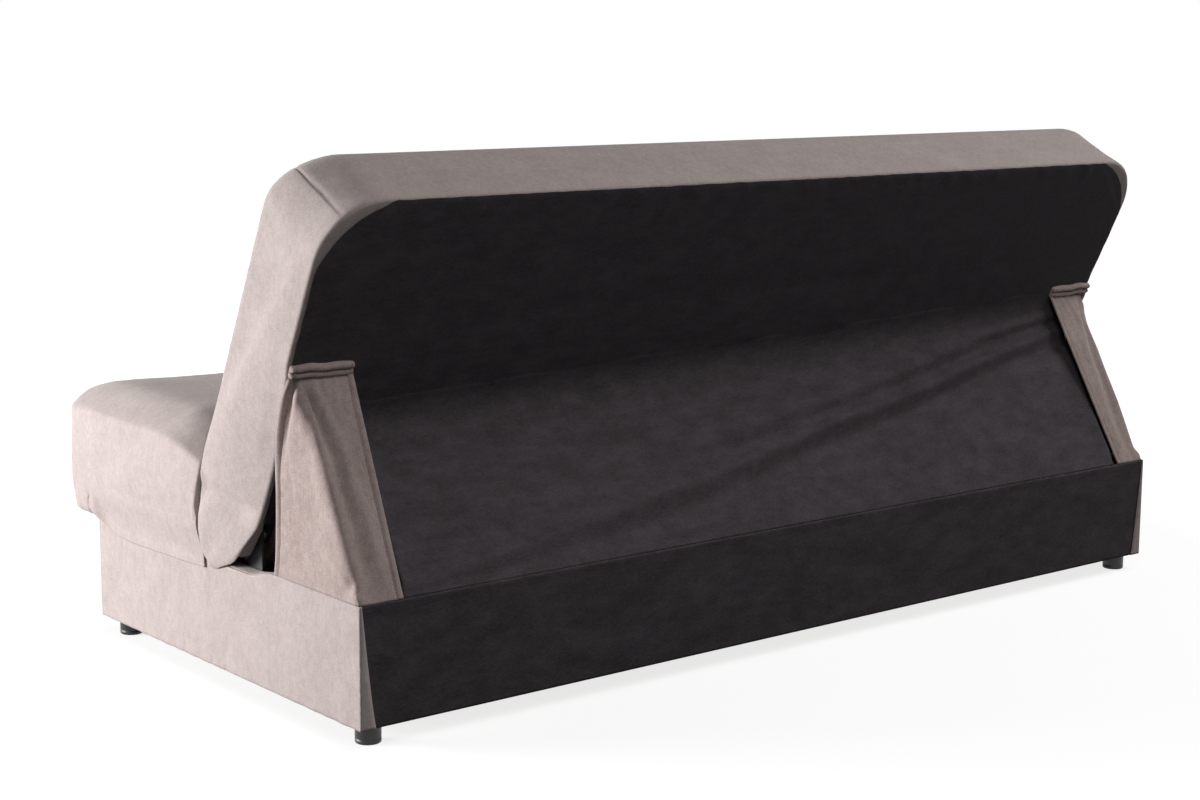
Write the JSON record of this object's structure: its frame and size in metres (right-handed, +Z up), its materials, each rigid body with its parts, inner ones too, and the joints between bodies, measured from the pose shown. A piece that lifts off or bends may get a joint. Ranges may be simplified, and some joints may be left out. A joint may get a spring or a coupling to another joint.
{
  "type": "armless sofa bed",
  "caption": "Armless sofa bed with a reclining back, a lifting seat over a storage box, cloth wings at the rear corners and short round feet.",
  "frame": {"origin": "on the floor, under the middle of the sofa's outer box", "axes": "+X runs along the sofa towards the sitter's left, +Y points to the rear, +Z points up"},
  "size_m": [1.95, 0.9825, 0.9154],
  "materials": {
    "upholstery": "heathered pinkish-taupe chenille, matt",
    "nonwoven": "black spunbond lining cloth, matt",
    "wood": "planed pine, unfinished",
    "hardboard": "brown hardboard",
    "black_steel": "black powder coat",
    "zinc_steel": "zinc-plated steel",
    "black_plastic": "moulded black plastic"
  },
  "bodies": {
    "base": {"bottom_panel": "hardboard", "rear_board": "wood", "front_board": "wood", "side_board_left": "wood", "side_board_right": "wood", "corner_block_rear_left": "wood", "corner_block_rear_right": "wood", "corner_block_front_left": "wood", "corner_block_front_right": "wood", "foot_rear_left": "black_plastic", "foot_rear_right": "black_plastic", "foot_front_left": "black_plastic", "foot_front_right": "black_plastic", "side_cover_left": "upholstery", "side_cover_right": "upholstery", "front_cover": "upholstery", "rear_cover": "nonwoven", "hinge_bracket_left": "black_steel", "hinge_bracket_right": "black_steel", "back_pivot_pin_left": "zinc_steel", "back_pivot_pin_right": "zinc_steel", "link_pivot_pin_left": "zinc_steel", "link_pivot_pin_right": "zinc_steel", "wing_left": "upholstery", "wing_right": "upholstery", "dust_curtain": "nonwoven"},
    "seat_links": {"swing_link_left": "black_steel", "swing_link_right": "black_steel", "seat_pin_left": "zinc_steel", "seat_pin_right": "zinc_steel"},
    "seat": {"seat_cushion": "upholstery", "seat_front_rail": "wood", "seat_rear_rail": "wood", "seat_mid_rail": "wood", "seat_side_rail_left": "wood", "seat_side_rail_right": "wood", "seat_flap_left": "upholstery", "seat_flap_right": "upholstery", "seat_dust_cover": "nonwoven", "seat_arm_left": "black_steel", "seat_arm_right": "black_steel", "seat_spring_1": "zinc_steel", "seat_spring_2": "zinc_steel", "seat_spring_3": "zinc_steel", "seat_spring_4": "zinc_steel"},
    "backrest": {"back_cushion": "upholstery", "back_bottom_rail": "wood", "back_top_rail": "wood", "back_mid_rail": "wood", "back_side_rail_left": "wood", "back_side_rail_right": "wood", "back_panel": "nonwoven", "back_arm_left": "black_steel", "back_arm_right": "black_steel", "wing_strap_left": "upholstery", "wing_strap_right": "upholstery", "back_spring_1": "zinc_steel", "back_spring_2": "zinc_steel", "back_spring_3": "zinc_steel", "back_spring_4": "zinc_steel"}
  },
  "joints": [
    {"name": "back_recline", "type": "hinge", "parent": "base", "child": "backrest", "pos_m": [0, 0.1335, 0.272], "axis": [-1, 0, 0], "range_deg": [0, 64], "deforming": ["wing_left", "wing_right", "dust_curtain"]},
    {"name": "link_swing", "type": "hinge", "parent": "base", "child": "seat_links", "pos_m": [0, -0.1485, 0.08], "axis": [1, 0, 0], "range_deg": [0, 36.5]},
    {"name": "seat_lift", "type": "hinge", "parent": "seat_links", "child": "seat", "pos_m": [0, -0.056, 0.24022], "axis": [-1, 0, 0], "range_deg": [0, 74]}
  ],
  "couplings": [
    {"joint": "link_swing", "follows": "seat_lift", "ratio": 0.487}
  ]
}
